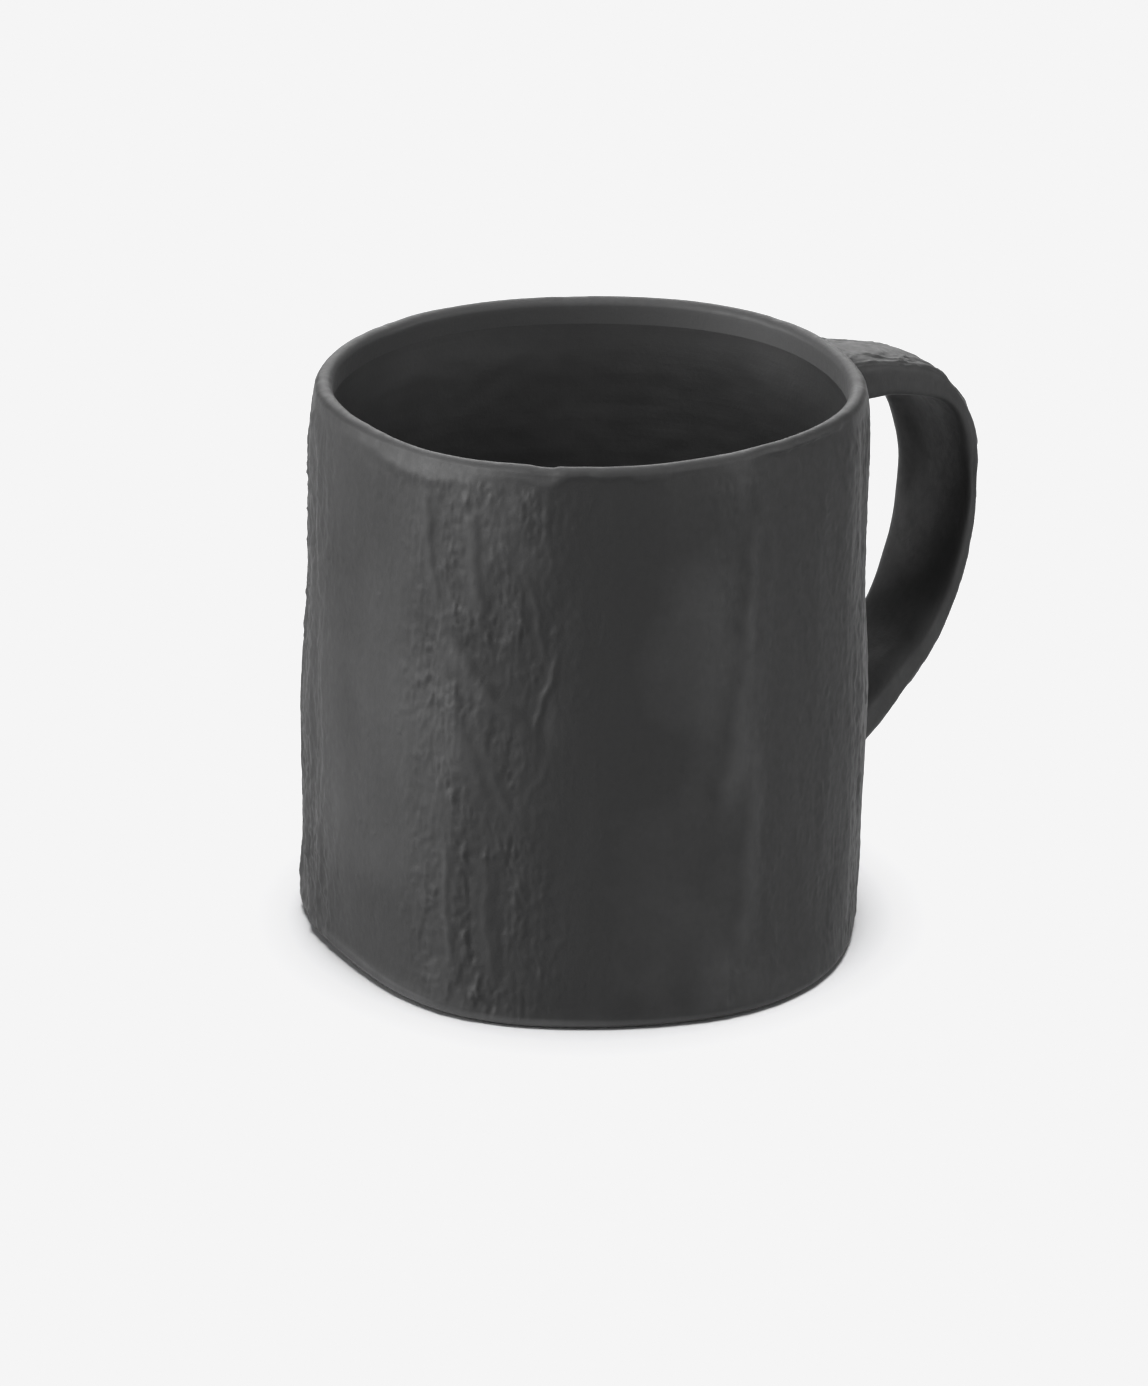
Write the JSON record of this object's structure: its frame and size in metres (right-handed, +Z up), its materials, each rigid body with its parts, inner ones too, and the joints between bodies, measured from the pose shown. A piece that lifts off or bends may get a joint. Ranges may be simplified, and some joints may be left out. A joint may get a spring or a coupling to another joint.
{
  "type": "ceramic mug",
  "caption": "Hand-built matte charcoal stoneware mug with a bark-textured, slightly lobed wall, a thin wiped lip and a wide strap handle.",
  "frame": {"origin": "middle of the foot, on the surface the mug stands on", "axes": "+Z up; +X from the middle of the mug out through the handle"},
  "size_m": [0.1205, 0.0921, 0.0918],
  "materials": {
    "bark_textured_clay": "raw matte with a bark-like imprint",
    "smooth_raw_clay": "raw matte, wiped smooth",
    "luted_clay": "raw matte, finger-smoothed",
    "satin_glaze": "thin satin lining"
  },
  "bodies": {
    "root": {"wall_slab": "bark_textured_clay", "base_slab": "smooth_raw_clay", "base_joint_coil": "smooth_raw_clay", "liner_glaze": "satin_glaze", "handle_strap": "bark_textured_clay", "handle_upper_joint": "luted_clay", "handle_lower_joint": "luted_clay"}
  },
  "joints": []
}
